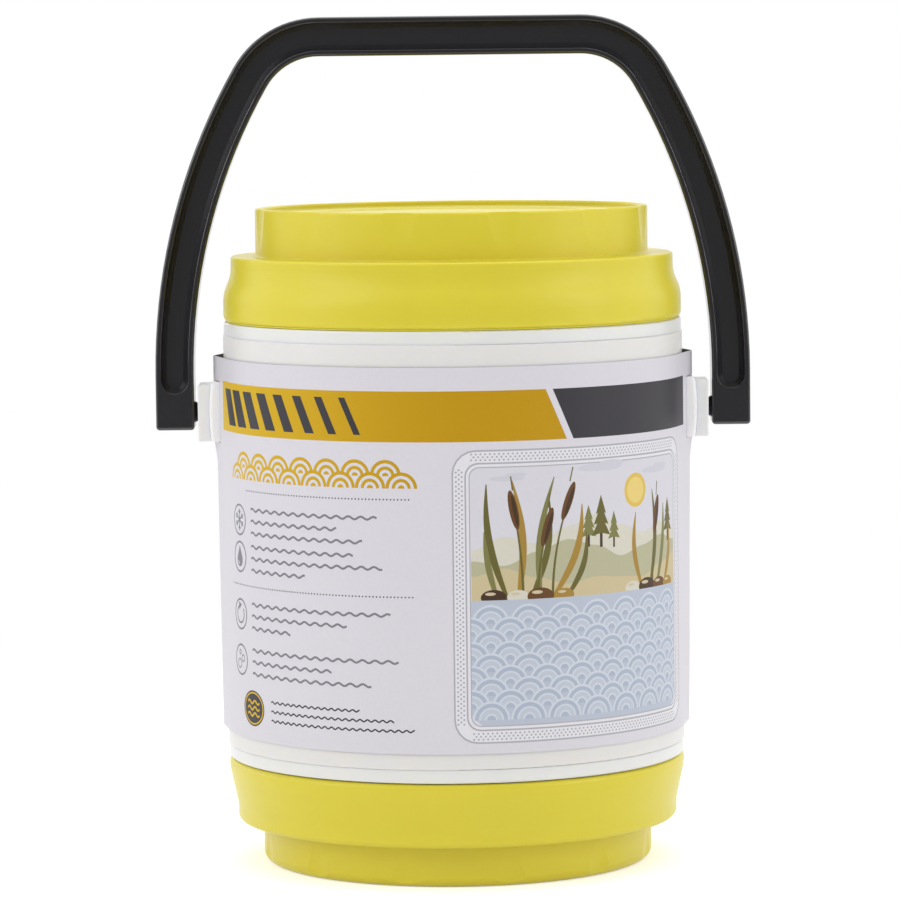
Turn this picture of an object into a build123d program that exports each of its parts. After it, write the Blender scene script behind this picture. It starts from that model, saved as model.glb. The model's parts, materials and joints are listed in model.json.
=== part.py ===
from build123d import *
from collections import namedtuple
import math
import os

# A two-compartment insulated bait can: a foam-filled double wall, a bait chamber above and an
# ice chamber below, a screw lid on each end, a printed card sleeve and a bail handle.
# Millimetres. +Z is the can's axis, z = 0 the plane it stands on, -Y the front of the sleeve.

# ---- driving dimensions ----

# chambers, and the walls round them from the inside out
CHAMBER_RADIUS = 76.0
BAIT_DEPTH = 139.0
ICE_DEPTH = 70.95
CUP_WALL = 2.0
CUP_FLOOR = 2.2
CUP_ROUND = 8.0
FOAM_THICKNESS = 10.0       # room for foam between a cup and the barrel
FOAM_CLEARANCE = 0.2
BARREL_WALL = 2.4
BARREL_EDGE_ROUND = 0.6

# liners: rolled neck and end ring in one moulding with the cup
NECK_WALL = 2.2
NECK_ROUND = 0.8
THREAD_SPACE = 4.3          # from the neck to the lid's skirt, for both threads
RING_STEP = 0.4             # from the barrel's face in to the ring's
RING_HEIGHT = 5.1
RING_WALL = 2.2
RING_ROUND = 0.8
LID_GAP = 0.4               # between a closed lid's skirt and the end ring
SPIGOT_LENGTH = 4.0
SPIGOT_WALL = 2.2
SPIGOT_CLEARANCE = 0.2

# both lids; heights are counted from the skirt's edge towards the closed end
LID_WALL = 2.2
SKIRT_STEP = 0.3            # from the barrel's face in to the skirt's
SKIRT_EDGE_ROUND = 2.0
SHOULDER_STEP = 3.1         # from the skirt's face in to the shoulder's
SHOULDER_HEIGHT = 25.2
TIER_FOOT_ROUND = 0.8
RIM_INNER_ROUND = 0.8
RECESS_DEPTH = 2.2
DISH_DEPTH = 0.8
DISH_MARGIN = 11.8          # from the rim's inner face in to the dish
DISH_SLOPE = 2.0
FLUTE_COUNT = 12
FLUTE_RADIUS = 40.0
FLUTE_DEPTH = 0.9           # at the rim; the flute runs out before the shoulder
FLUTE_RUN_OUT = 3.0         # height above the shoulder where it ends

# where the lids differ: the top one flares late and has a crisp rim, the lower one tapers
# all the way up its skirt and stands on a softer, lower tier
TOP_FLARE_START = 10.8
TOP_FLARE_RUN = 7.0
TOP_FLARE_FULLNESS = 0.83   # share of the flare's slope that its two bends take up
TOP_SHOULDER_ROUND = 1.0
TOP_LEDGE_WIDTH = 9.8       # from the shoulder's face in to the tier's
TOP_TIER_HEIGHT = 18.6
TOP_RIM_WIDTH = 3.2
TOP_RIM_ROUND = 0.8
BOTTOM_FLARE_START = 4.4
BOTTOM_FLARE_RUN = 14.4
BOTTOM_FLARE_FULLNESS = 0.2
BOTTOM_SHOULDER_ROUND = 2.4
BOTTOM_LEDGE_WIDTH = 10.1
BOTTOM_TIER_HEIGHT = 16.65
BOTTOM_RIM_WIDTH = 6.4
BOTTOM_RIM_ROUND = 4.0

# gasket and insulated plug under the lid
GASKET_THICKNESS = 2.0
GASKET_INNER_MARGIN = 2.4   # from the chamber's wall out to the gasket
GASKET_OUTER_MARGIN = 1.0   # from the neck's face in to the gasket
GASKET_ROUND = 0.4
PLUG_DEPTH = 8.0            # below the liner's rim
PLUG_WALL = 1.8
PLUG_CLEARANCE = 0.6
PLUG_RIM_CLEARANCE = 0.4
PLUG_FLANGE_GAP = 0.6       # from the plug's flange to the gasket
PLUG_ROUND = 2.0

# handle pads on the barrel and the pivot ears bonded to them
PIVOT_DROP = 30.7           # below the barrel's upper end
PAD_HEIGHT = 23.6
PAD_RISE = 0.6              # of the pad's middle above the pivot
PAD_HALF_DEPTH = 11.4
PAD_STAND = 5.5             # of the pad's crown from the barrel, at the sides
PAD_CROWN = 0.8
PAD_ROUND = 1.6
EAR_HEIGHT = 22.1
EAR_STAND = 4.5             # of the ear's face from the pad's crown
EAR_SIDE_STEP = 1.6         # from the pad's side in to the ear's
EAR_ROUND = 0.6
EAR_SEAT_CLEARANCE = 0.05
EAR_SPIGOT_RADIUS = 7.0
EAR_SPIGOT_CLEARANCE = 0.1

# handle
HANDLE_RISE = 154.6         # from the pivot to the top of the bar
HANDLE_WIDTH = 15.1         # of a leg
BAR_HEIGHT = 15.3
HANDLE_DEPTH = 16.0
HANDLE_FOOT = 6.8           # below the pivot
HANDLE_FOOT_ROUND = 1.4
HANDLE_EDGE_ROUND = 1.2
CORNER_RADIUS = 38.6        # outer edge
LEG_STRAIGHT = 15.1         # from the pivot to the start of the leg's arc
LEG_ARC_RADIUS = 239.0      # outer edge
GROOVE_LIP = 2.1            # from the groove's mouth to the handle's edge
GROOVE_DRAFT = 2.2          # width that each wall of the groove takes up
GROOVE_DEPTH = 4.5
GROOVE_END = 13.0           # centre of the groove's round end, above the pivot
GROOVE_MOUTH_ROUND = 0.4
HUB_GAP = 0.4               # from the hub's tip to the ear
HUB_RADIUS = 4.3
HUB_TIP_RADIUS = 3.6
HUB_LENGTH = 1.1
PIN_RADIUS = 3.2
PIN_LENGTH = 8.0
PIN_CLEARANCE = 0.1
PIN_END_CLEARANCE = 1.0
PIN_CHAMFER = 0.8

# printed card sleeve, creased at both sides and glued at a lap behind
SLEEVE_TOP_INSET = 8.5      # below the barrel's upper end
SLEEVE_BOTTOM_INSET = 6.3   # above the barrel's lower end
SLEEVE_CARD = 0.5
SLEEVE_CLEARANCE = 0.3
CREASE_TOP_STANDOFF = 4.5   # of each crease from the barrel
CREASE_PAD_STANDOFF = 4.5   # under the pad
CREASE_KNEE_STANDOFF = 3.3
CREASE_FOOT_STANDOFF = 2.4
KNEE_DROP = 8.0             # of the crease's knee below the pad
WINDOW_CLEARANCE = 0.3
LAP_ANGLE = 100.0           # of the lap's free edge, from +X towards the back
LAP_SPREAD = 14.0           # angle over which the outer layer comes down to the inner one

# ---- sizes that follow ----

CUP_RADIUS = CHAMBER_RADIUS + CUP_WALL
BARREL_BORE = CUP_RADIUS + FOAM_THICKNESS
BARREL_RADIUS = BARREL_BORE + BARREL_WALL
RING_RADIUS = BARREL_RADIUS - RING_STEP
SKIRT_RADIUS = BARREL_RADIUS - SKIRT_STEP
NECK_RADIUS = SKIRT_RADIUS - LID_WALL - THREAD_SPACE
SHOULDER_RADIUS = SKIRT_RADIUS - SHOULDER_STEP
PLUG_RADIUS = CHAMBER_RADIUS - PLUG_CLEARANCE
GASKET_INNER_RADIUS = CHAMBER_RADIUS + GASKET_INNER_MARGIN
GASKET_OUTER_RADIUS = NECK_RADIUS - GASKET_OUTER_MARGIN

TOP_LID_HEIGHT = SHOULDER_HEIGHT + TOP_TIER_HEIGHT
BOTTOM_LID_HEIGHT = SHOULDER_HEIGHT + BOTTOM_TIER_HEIGHT
LID_CEILING = SHOULDER_HEIGHT - LID_WALL                # underside of the shoulder
SEAT_HEIGHT = LID_CEILING - GASKET_THICKNESS            # liner rim, above the skirt's edge
PLUG_BOTTOM = SEAT_HEIGHT - PLUG_DEPTH

RING_TOP = SEAT_HEIGHT + LID_GAP            # depth of the end ring's face below the liner's rim
SEAM = RING_TOP + RING_HEIGHT               # depth of the barrel's end below the liner's rim
BOTTOM_RIM = BOTTOM_LID_HEIGHT - SEAT_HEIGHT
DIVIDER_HEIGHT = BOTTOM_RIM + ICE_DEPTH + CUP_FLOOR
TOP_RIM = DIVIDER_HEIGHT + CUP_FLOOR + BAIT_DEPTH
TOP_SKIRT = TOP_RIM - SEAT_HEIGHT
BARREL_BOTTOM = BOTTOM_RIM + SEAM
BARREL_TOP = TOP_RIM - SEAM

PIVOT_HEIGHT = BARREL_TOP - PIVOT_DROP
PAD_MIDDLE = PIVOT_HEIGHT + PAD_RISE
PAD_FACE = BARREL_RADIUS + PAD_STAND        # at the crown
EAR_FACE = PAD_FACE + EAR_STAND
EAR_HALF_DEPTH = PAD_HALF_DEPTH - EAR_SIDE_STEP

HANDLE_TOP = PIVOT_HEIGHT + HANDLE_RISE
HANDLE_INNER_SPAN = EAR_FACE + HUB_GAP + HUB_LENGTH     # inside of a leg, from the axis
HANDLE_HALF_SPAN = HANDLE_INNER_SPAN + HANDLE_WIDTH
HANDLE_AXIS = HANDLE_HALF_SPAN - HANDLE_WIDTH / 2
LEG_ARC_START = PIVOT_HEIGHT + LEG_STRAIGHT
GROOVE_WIDTH = HANDLE_WIDTH - 2 * GROOVE_LIP
HUB_TIP = HANDLE_INNER_SPAN - HUB_LENGTH
PIN_TIP = HUB_TIP - PIN_LENGTH

SLEEVE_TOP = BARREL_TOP - SLEEVE_TOP_INSET
SLEEVE_BOTTOM = BARREL_BOTTOM + SLEEVE_BOTTOM_INSET
SLEEVE_RADIUS = BARREL_RADIUS + SLEEVE_CLEARANCE + SLEEVE_CARD

LidForm = namedtuple(
    "LidForm", "height flare_start flare_run flare_fullness shoulder_round tier_radius tier_height "
    "rim_width rim_round")
TOP_LID = LidForm(
    height=TOP_LID_HEIGHT,
    flare_start=TOP_FLARE_START,
    flare_run=TOP_FLARE_RUN,
    flare_fullness=TOP_FLARE_FULLNESS,
    shoulder_round=TOP_SHOULDER_ROUND,
    tier_radius=SHOULDER_RADIUS - TOP_LEDGE_WIDTH,
    tier_height=TOP_TIER_HEIGHT,
    rim_width=TOP_RIM_WIDTH,
    rim_round=TOP_RIM_ROUND,
)
BOTTOM_LID = LidForm(
    height=BOTTOM_LID_HEIGHT,
    flare_start=BOTTOM_FLARE_START,
    flare_run=BOTTOM_FLARE_RUN,
    flare_fullness=BOTTOM_FLARE_FULLNESS,
    shoulder_round=BOTTOM_SHOULDER_ROUND,
    tier_radius=SHOULDER_RADIUS - BOTTOM_LEDGE_WIDTH,
    tier_height=BOTTOM_TIER_HEIGHT,
    rim_width=BOTTOM_RIM_WIDTH,
    rim_round=BOTTOM_RIM_ROUND,
)


def turned(corners):
    """Solid of revolution about Z from its corners, each a point (radius, height) and its rounding."""
    points = [point for point, _ in corners]
    radii = [radius for _, radius in corners]
    outline = FilletPolyline(*points, radius=radii, close=True)
    return revolve(Plane.XZ * make_face(outline), Axis.Z)


def facing_down(solid, height):
    """A lid or liner drawn from z = 0 upwards, turned over and set at a height."""
    return Pos(0, 0, height) * Rot(180, 0, 0) * solid


# ---- lid pieces, drawn upright with the skirt's edge at z = 0 ----

def dish_floor(form):
    return form.height - RECESS_DEPTH - DISH_DEPTH


def lid_cap(form):
    floor = form.height - RECESS_DEPTH
    rim_inner = form.tier_radius - form.rim_width
    dish = rim_inner - DISH_MARGIN
    ceiling = dish_floor(form) - LID_WALL
    flare_end = form.flare_start + form.flare_run
    flare_angle = math.atan2(SHOULDER_STEP, form.flare_run)
    flare_bend = form.flare_fullness * math.hypot(SHOULDER_STEP, form.flare_run) / 2
    flare_round = flare_bend / math.tan(flare_angle / 2)
    cap = turned([
        ((SKIRT_RADIUS, 0), SKIRT_EDGE_ROUND),
        ((SKIRT_RADIUS, form.flare_start), flare_round),
        ((SHOULDER_RADIUS, flare_end), flare_round),
        ((SHOULDER_RADIUS, SHOULDER_HEIGHT), form.shoulder_round),
        ((form.tier_radius, SHOULDER_HEIGHT), TIER_FOOT_ROUND),
        ((form.tier_radius, form.height), form.rim_round),
        ((rim_inner, form.height), RIM_INNER_ROUND),
        ((rim_inner, floor), RIM_INNER_ROUND),
        ((dish, floor), 0),
        ((dish - DISH_SLOPE, dish_floor(form)), 0),
        ((0, dish_floor(form)), 0),
        ((0, ceiling), 0),
        ((form.tier_radius - LID_WALL, ceiling), RIM_INNER_ROUND),
        ((form.tier_radius - LID_WALL, LID_CEILING), 0),
        ((SHOULDER_RADIUS - LID_WALL, LID_CEILING), 0),
        ((SHOULDER_RADIUS - LID_WALL, flare_end), flare_round),
        ((SKIRT_RADIUS - LID_WALL, form.flare_start), flare_round),
        ((SKIRT_RADIUS - LID_WALL, 0), 0),
    ])
    return cap - grip_flutes(form)


def grip_flutes(form):
    """Cutters for the finger flutes, leaning so that each is deepest at the rim."""
    lean = math.degrees(math.atan2(FLUTE_DEPTH, form.tier_height - FLUTE_RUN_OUT))
    length = 3 * form.height
    run_out = SHOULDER_HEIGHT + FLUTE_RUN_OUT
    cutter = Cylinder(FLUTE_RADIUS, length, align=(Align.MIN, Align.CENTER, Align.CENTER))
    cutter = Pos(form.tier_radius, 0, run_out) * Rot(0, -lean, 0) * cutter
    cutter &= Pos(0, 0, run_out) * Cylinder(
        form.tier_radius + 2 * FLUTE_RADIUS, length, align=(Align.CENTER, Align.CENTER, Align.MIN))
    step = 360 / FLUTE_COUNT
    return [Rot(0, 0, -90 + step * (i + 0.5)) * cutter for i in range(FLUTE_COUNT)]


def lid_plug():
    flange = GASKET_INNER_RADIUS - PLUG_FLANGE_GAP
    flange_height = SEAT_HEIGHT + PLUG_RIM_CLEARANCE
    return turned([
        ((0, PLUG_BOTTOM), 0),
        ((PLUG_RADIUS, PLUG_BOTTOM), PLUG_ROUND),
        ((PLUG_RADIUS, flange_height), 0),
        ((flange, flange_height), 0),
        ((flange, LID_CEILING), 0),
        ((PLUG_RADIUS - PLUG_WALL, LID_CEILING), 0),
        ((PLUG_RADIUS - PLUG_WALL, PLUG_BOTTOM + PLUG_WALL), 0),
        ((0, PLUG_BOTTOM + PLUG_WALL), 0),
    ])


def lid_foam(form):
    radius = PLUG_RADIUS - PLUG_WALL - FOAM_CLEARANCE
    bottom = PLUG_BOTTOM + PLUG_WALL
    top = dish_floor(form) - LID_WALL
    return turned([
        ((0, bottom), 0),
        ((radius, bottom), 0),
        ((radius, top), RIM_INNER_ROUND),
        ((0, top), 0),
    ])


def lid_gasket():
    return turned([
        ((GASKET_INNER_RADIUS, SEAT_HEIGHT), GASKET_ROUND),
        ((GASKET_OUTER_RADIUS, SEAT_HEIGHT), GASKET_ROUND),
        ((GASKET_OUTER_RADIUS, LID_CEILING), GASKET_ROUND),
        ((GASKET_INNER_RADIUS, LID_CEILING), GASKET_ROUND),
    ])


# ---- can pieces ----

def liner(chamber_depth):
    """Cup round a chamber, with its neck, ring and spigot, drawn mouth up with its rim at z = 0."""
    depth = chamber_depth + CUP_FLOOR
    spigot_outer = BARREL_BORE - SPIGOT_CLEARANCE
    spigot_inner = spigot_outer - SPIGOT_WALL
    return turned([
        ((0, -depth), 0),
        ((CUP_RADIUS, -depth), CUP_ROUND + CUP_WALL),
        ((CUP_RADIUS, -NECK_WALL), 0),
        ((NECK_RADIUS - NECK_WALL, -NECK_WALL), 0),
        ((NECK_RADIUS - NECK_WALL, -RING_TOP - RING_WALL), 0),
        ((spigot_inner, -RING_TOP - RING_WALL), 0),
        ((spigot_inner, -SEAM - SPIGOT_LENGTH), 0),
        ((spigot_outer, -SEAM - SPIGOT_LENGTH), 0),
        ((spigot_outer, -SEAM), 0),
        ((RING_RADIUS, -SEAM), 0),
        ((RING_RADIUS, -RING_TOP), RING_ROUND),
        ((NECK_RADIUS, -RING_TOP), RING_ROUND),
        ((NECK_RADIUS, 0), NECK_ROUND),
        ((CHAMBER_RADIUS, 0), NECK_ROUND),
        ((CHAMBER_RADIUS, -chamber_depth), CUP_ROUND),
        ((0, -chamber_depth), 0),
    ])


def foam_jacket(chamber_depth):
    """Foam round one cup and up into its neck, drawn with the liner's rim at z = 0."""
    depth = chamber_depth + CUP_FLOOR
    inner = CUP_RADIUS + FOAM_CLEARANCE
    outer = BARREL_BORE - FOAM_CLEARANCE
    step = BARREL_BORE - SPIGOT_CLEARANCE - SPIGOT_WALL - FOAM_CLEARANCE
    collar = NECK_RADIUS - NECK_WALL - FOAM_CLEARANCE
    bevel = (CUP_ROUND + CUP_WALL) * (2 - math.sqrt(2))
    return turned([
        ((inner - bevel, -depth), 0),
        ((outer, -depth), 0),
        ((outer, -SEAM - SPIGOT_LENGTH - FOAM_CLEARANCE), 0),
        ((step, -SEAM - SPIGOT_LENGTH - FOAM_CLEARANCE), 0),
        ((step, -RING_TOP - RING_WALL - FOAM_CLEARANCE), 0),
        ((collar, -RING_TOP - RING_WALL - FOAM_CLEARANCE), 0),
        ((collar, -NECK_WALL - FOAM_CLEARANCE), 0),
        ((inner, -NECK_WALL - FOAM_CLEARANCE), 0),
        ((inner, -depth + bevel), 0),
    ])


def pad_block(grow=0.0):
    """Crowned handle pad on the +X side, as a full block back to the can's axis."""
    half = PAD_HEIGHT / 2
    side = PAD_FACE - PAD_CROWN
    outline = make_face([
        Line((0, -half), (side, -half)),
        ThreePointArc((side, -half), (PAD_FACE, 0), (side, half)),
        Line((side, half), (0, half)),
        Line((0, half), (0, -half)),
    ])
    if grow:
        outline = offset(outline, grow)
    block = extrude(Plane.XZ * outline, PAD_HALF_DEPTH + grow, both=True)
    return Pos(0, 0, PAD_MIDDLE) * block


def rounded_pad():
    """The pad with its outer upright and level edges rounded."""
    block = pad_block()
    far = block.edges().filter_by(lambda e: e.center().X > PAD_FACE - 2 * PAD_CROWN)
    return fillet(far, PAD_ROUND)


def barrel():
    tube = turned([
        ((BARREL_BORE, BARREL_BOTTOM), 0),
        ((BARREL_RADIUS, BARREL_BOTTOM), BARREL_EDGE_ROUND),
        ((BARREL_RADIUS, BARREL_TOP), BARREL_EDGE_ROUND),
        ((BARREL_BORE, BARREL_TOP), 0),
    ])
    core = Pos(0, 0, PIVOT_HEIGHT) * Cylinder(BARREL_BORE, 2 * PAD_HEIGHT)
    bore = along_pivots(-HANDLE_HALF_SPAN, HANDLE_HALF_SPAN, EAR_SPIGOT_RADIUS + EAR_SPIGOT_CLEARANCE)
    pad = rounded_pad()
    return tube + (pad - core) + (mirror(pad, Plane.YZ) - core) - bore


def along_pivots(start, end, radius):
    """Cylinder on the pivots' axis from one x to another."""
    rod = Cylinder(radius, end - start, align=(Align.CENTER, Align.CENTER, Align.MIN))
    return Pos(start, 0, PIVOT_HEIGHT) * Rot(0, 90, 0) * rod


def ear():
    """Right-hand pivot ear: a block on the pad, with a spigot through it to the barrel's bore."""
    block = Pos(EAR_FACE, 0, PIVOT_HEIGHT) * Box(
        EAR_FACE - BARREL_BORE, 2 * EAR_HALF_DEPTH, EAR_HEIGHT,
        align=(Align.MAX, Align.CENTER, Align.CENTER))
    block = fillet(block.faces().sort_by(Axis.X)[-1].edges(), EAR_ROUND)
    block -= pad_block(EAR_SEAT_CLEARANCE)
    spigot = along_pivots(BARREL_BORE, EAR_FACE - EAR_ROUND, EAR_SPIGOT_RADIUS)
    barrel_inside = Pos(0, 0, PIVOT_HEIGHT) * Cylinder(BARREL_BORE, 2 * PAD_HEIGHT)
    bore = along_pivots(PIN_TIP - PIN_END_CLEARANCE, HANDLE_HALF_SPAN, PIN_RADIUS + PIN_CLEARANCE)
    return block + spigot - barrel_inside - bore


# ---- handle ----

def arch_edges(inset, foot):
    """The handle's outer edge moved in by an inset, from the right foot over to the left one."""
    corner = CORNER_RADIUS - inset
    leg = LEG_ARC_RADIUS - inset
    half_span = HANDLE_HALF_SPAN - inset
    corner_z = HANDLE_TOP - inset * BAR_HEIGHT / HANDLE_WIDTH - corner
    leg_angle = math.asin((corner_z - LEG_ARC_START) / (leg - corner))
    leg_x = half_span - leg
    corner_x = leg_x + (leg - corner) * math.cos(leg_angle)

    def on_leg(angle):
        return (leg_x + leg * math.cos(angle), LEG_ARC_START + leg * math.sin(angle))

    def on_corner(angle):
        return (corner_x + corner * math.cos(angle), corner_z + corner * math.sin(angle))

    def flip(point):
        return (-point[0], point[1])

    half_way = (leg_angle + math.pi / 2) / 2
    leg_points = [on_leg(0), on_leg(leg_angle / 2), on_leg(leg_angle)]
    corner_points = [on_leg(leg_angle), on_corner(half_way), on_corner(math.pi / 2)]
    return [
        Line((half_span, foot), leg_points[0]),
        ThreePointArc(*leg_points),
        ThreePointArc(*corner_points),
        Line(corner_points[-1], flip(corner_points[-1])),
        ThreePointArc(*[flip(p) for p in reversed(corner_points)]),
        ThreePointArc(*[flip(p) for p in reversed(leg_points)]),
        Line(flip(leg_points[0]), (-half_span, foot)),
    ]


def bail_area():
    """The handle's outline, from one square foot over the arch to the other."""
    foot = PIVOT_HEIGHT - HANDLE_FOOT
    feet = [
        Line((-HANDLE_HALF_SPAN, foot), (-HANDLE_INNER_SPAN, foot)),
        Line((HANDLE_INNER_SPAN, foot), (HANDLE_HALF_SPAN, foot)),
    ]
    area = make_face(arch_edges(0, foot) + arch_edges(HANDLE_WIDTH, foot) + feet)
    return fillet(area.vertices().sort_by(Axis.Y)[:4], HANDLE_FOOT_ROUND)


def groove_area(width):
    """The groove's outline at a width, with round ends above the pivots."""
    lip = (HANDLE_WIDTH - width) / 2
    end = PIVOT_HEIGHT + GROOVE_END
    near = HANDLE_AXIS - width / 2
    far = HANDLE_AXIS + width / 2
    ends = [
        ThreePointArc((-far, end), (-HANDLE_AXIS, end - width / 2), (-near, end)),
        ThreePointArc((near, end), (HANDLE_AXIS, end - width / 2), (far, end)),
    ]
    return make_face(arch_edges(lip, end) + arch_edges(HANDLE_WIDTH - lip, end) + ends)


def handle():
    bail = extrude(Plane.XZ * bail_area(), HANDLE_DEPTH / 2, both=True)
    faces = bail.faces().sort_by(Axis.Y)
    bail = fillet(faces[0].edges() + faces[-1].edges(), HANDLE_EDGE_ROUND)
    face = HANDLE_DEPTH / 2
    mouth = Plane.XZ.offset(face) * groove_area(GROOVE_WIDTH)
    floor = Plane.XZ.offset(face - GROOVE_DEPTH) * groove_area(GROOVE_WIDTH - 2 * GROOVE_DRAFT)
    groove = loft([mouth, floor], ruled=True)
    bail = round_mouths(bail - groove - mirror(groove, Plane.XZ))
    pivot = pivot_pin()
    return bail + pivot + mirror(pivot, Plane.YZ)


def round_mouths(bail):
    """The bail with the edges of its two grooves rounded where they meet its faces."""
    faces = bail.faces().sort_by(Axis.Y)
    mouths = [face.inner_wires()[0].edges() for face in (faces[0], faces[-1])]
    return fillet(mouths[0] + mouths[1], GROOVE_MOUTH_ROUND)


def pivot_pin():
    """Tapered hub and pin on the inside of the right-hand leg."""
    hub = Pos(HUB_TIP, 0, PIVOT_HEIGHT) * Rot(0, 90, 0) * Cone(
        HUB_TIP_RADIUS, HUB_RADIUS, HUB_LENGTH, align=(Align.CENTER, Align.CENTER, Align.MIN))
    pin = along_pivots(PIN_TIP, HANDLE_INNER_SPAN, PIN_RADIUS)
    pin = chamfer(pin.edges().sort_by(Axis.X)[0], PIN_CHAMFER)
    return hub + pin


# ---- sleeve ----

def creased_outline(height, standoff, inset):
    """Section of the sleeve: round in front and behind, drawn tight to a crease at each side."""
    radius = SLEEVE_RADIUS - inset
    tip = (BARREL_RADIUS + standoff) * radius / SLEEVE_RADIUS
    leave = math.acos(radius / tip)
    x = radius * math.cos(leave)
    y = radius * math.sin(leave)
    section = make_face([
        Line((tip, 0), (x, y)),
        ThreePointArc((x, y), (0, radius), (-x, y)),
        Line((-x, y), (-tip, 0)),
        Line((-tip, 0), (-x, -y)),
        ThreePointArc((-x, -y), (0, -radius), (x, -y)),
        Line((x, -y), (tip, 0)),
    ])
    return Pos(0, 0, height) * section


def sleeve_form(inset):
    """Solid inside the sleeve's face moved in by an inset."""
    under_pad = PAD_MIDDLE - PAD_HEIGHT / 2
    sections = [
        creased_outline(SLEEVE_BOTTOM, CREASE_FOOT_STANDOFF, inset),
        creased_outline(under_pad - KNEE_DROP, CREASE_KNEE_STANDOFF, inset),
        creased_outline(under_pad, CREASE_PAD_STANDOFF, inset),
        creased_outline(SLEEVE_TOP, CREASE_TOP_STANDOFF, inset),
    ]
    return loft(sections, ruled=True)


def glued_lap():
    """The outer layer at the lap: one card thick at its free edge, running down into the card."""
    def at(radius, angle):
        return (radius * math.cos(math.radians(angle)), radius * math.sin(math.radians(angle)))

    end = LAP_ANGLE + LAP_SPREAD
    middle = LAP_ANGLE + LAP_SPREAD / 2
    root = SLEEVE_RADIUS - SLEEVE_CARD / 2
    outer = SLEEVE_RADIUS + SLEEVE_CARD
    section = make_face([
        Line(at(root, LAP_ANGLE), at(outer, LAP_ANGLE)),
        ThreePointArc(at(outer, LAP_ANGLE), at((root + outer) / 2, middle), at(root, end)),
        ThreePointArc(at(root, end), at(root, middle), at(root, LAP_ANGLE)),
    ])
    return Pos(0, 0, SLEEVE_BOTTOM) * extrude(section, SLEEVE_TOP - SLEEVE_BOTTOM)


def sleeve():
    card = sleeve_form(0) - sleeve_form(SLEEVE_CARD) + glued_lap()
    window = Pos(0, 0, PAD_MIDDLE) * Box(
        4 * BARREL_RADIUS,
        2 * (PAD_HALF_DEPTH + WINDOW_CLEARANCE),
        PAD_HEIGHT + 2 * WINDOW_CLEARANCE)
    return card - window


def build():
    nodes = {
        "outer_barrel": barrel(),
        "ear_right": ear(),
        "ear_left": mirror(ear(), Plane.YZ),
        "bait_liner": Pos(0, 0, TOP_RIM) * liner(BAIT_DEPTH),
        "ice_liner": facing_down(liner(ICE_DEPTH), BOTTOM_RIM),
        "bait_foam_jacket": Pos(0, 0, TOP_RIM) * foam_jacket(BAIT_DEPTH),
        "ice_foam_jacket": facing_down(foam_jacket(ICE_DEPTH), BOTTOM_RIM),
        "card_sleeve": sleeve(),
        "handle": handle(),
    }
    for end, form in {"top": TOP_LID, "bottom": BOTTOM_LID}.items():
        pieces = {
            "cap": lid_cap(form),
            "plug": lid_plug(),
            "foam": lid_foam(form),
            "gasket": lid_gasket(),
        }
        for name, piece in pieces.items():
            if end == "top":
                piece = Pos(0, 0, TOP_SKIRT) * piece
            else:
                piece = facing_down(piece, BOTTOM_LID_HEIGHT)
            nodes[f"{end}_lid_{name}"] = piece
    return nodes


os.makedirs("parts", exist_ok=True)
for node_name, shape in build().items():
    export_step(shape, f"parts/{node_name}.step")
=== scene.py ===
import json
import math

import bmesh
import bpy
from mathutils import Matrix, Vector
from mathutils.geometry import delaunay_2d_cdt

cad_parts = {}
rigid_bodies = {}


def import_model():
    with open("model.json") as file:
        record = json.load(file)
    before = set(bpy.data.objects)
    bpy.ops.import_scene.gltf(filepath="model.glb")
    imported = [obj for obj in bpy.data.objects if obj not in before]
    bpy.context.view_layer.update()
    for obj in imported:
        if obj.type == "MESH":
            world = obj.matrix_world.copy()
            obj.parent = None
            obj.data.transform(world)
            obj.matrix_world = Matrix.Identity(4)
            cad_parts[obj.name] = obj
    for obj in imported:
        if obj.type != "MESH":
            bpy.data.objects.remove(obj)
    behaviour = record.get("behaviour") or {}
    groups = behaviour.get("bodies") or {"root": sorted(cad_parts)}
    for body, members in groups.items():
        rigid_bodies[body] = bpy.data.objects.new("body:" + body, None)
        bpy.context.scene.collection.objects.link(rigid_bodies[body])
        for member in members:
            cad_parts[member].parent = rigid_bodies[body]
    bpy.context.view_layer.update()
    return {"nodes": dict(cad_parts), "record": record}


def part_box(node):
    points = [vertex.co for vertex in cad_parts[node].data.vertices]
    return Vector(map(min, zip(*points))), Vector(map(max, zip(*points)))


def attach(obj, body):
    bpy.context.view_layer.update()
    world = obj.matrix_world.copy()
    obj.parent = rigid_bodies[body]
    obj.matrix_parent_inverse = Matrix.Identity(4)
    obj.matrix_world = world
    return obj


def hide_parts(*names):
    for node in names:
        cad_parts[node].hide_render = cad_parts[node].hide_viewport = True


# Looks of the two-chamber bait can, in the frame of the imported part: +Z is the can's axis, -Y the printed
# front and +X the right-hand pivot. Lights, floor and camera are placed in metres; the printed card, the
# threads and the bead are worked out in millimetres.

for leftover in list(bpy.data.objects):
    bpy.data.objects.remove(leftover)
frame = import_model()
NODES = frame["nodes"]
MM = 0.001
WHITE = (1, 1, 1, 1)


def link_new(name, data):
    """A new object of the scene."""
    made = bpy.data.objects.new(name, data)
    bpy.context.scene.collection.objects.link(made)
    return made


# ---- camera, lights and floor ----

CAMERA_PLACE = Vector((-1.45, -1852.5, 314.9)) * MM
CAMERA_LENS = 188.07
CAMERA_SENSOR = 36.0
CAMERA_PITCH = math.radians(4.728)      # downwards
CAMERA_ROLL = math.radians(0.649)       # the can leans to the left by this much in the picture


def add_camera():
    data = bpy.data.cameras.new("camera")
    data.lens = CAMERA_LENS
    data.sensor_width = CAMERA_SENSOR
    camera = link_new("camera", data)
    camera.location = CAMERA_PLACE
    camera.rotation_mode = "XYZ"
    camera.rotation_euler = (math.pi / 2 - CAMERA_PITCH, 0, 0)
    rolled = camera.rotation_euler.to_matrix() @ Matrix.Rotation(-CAMERA_ROLL, 3, "Z")
    camera.rotation_euler = rolled.to_euler("XYZ")
    bpy.context.scene.camera = camera


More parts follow.
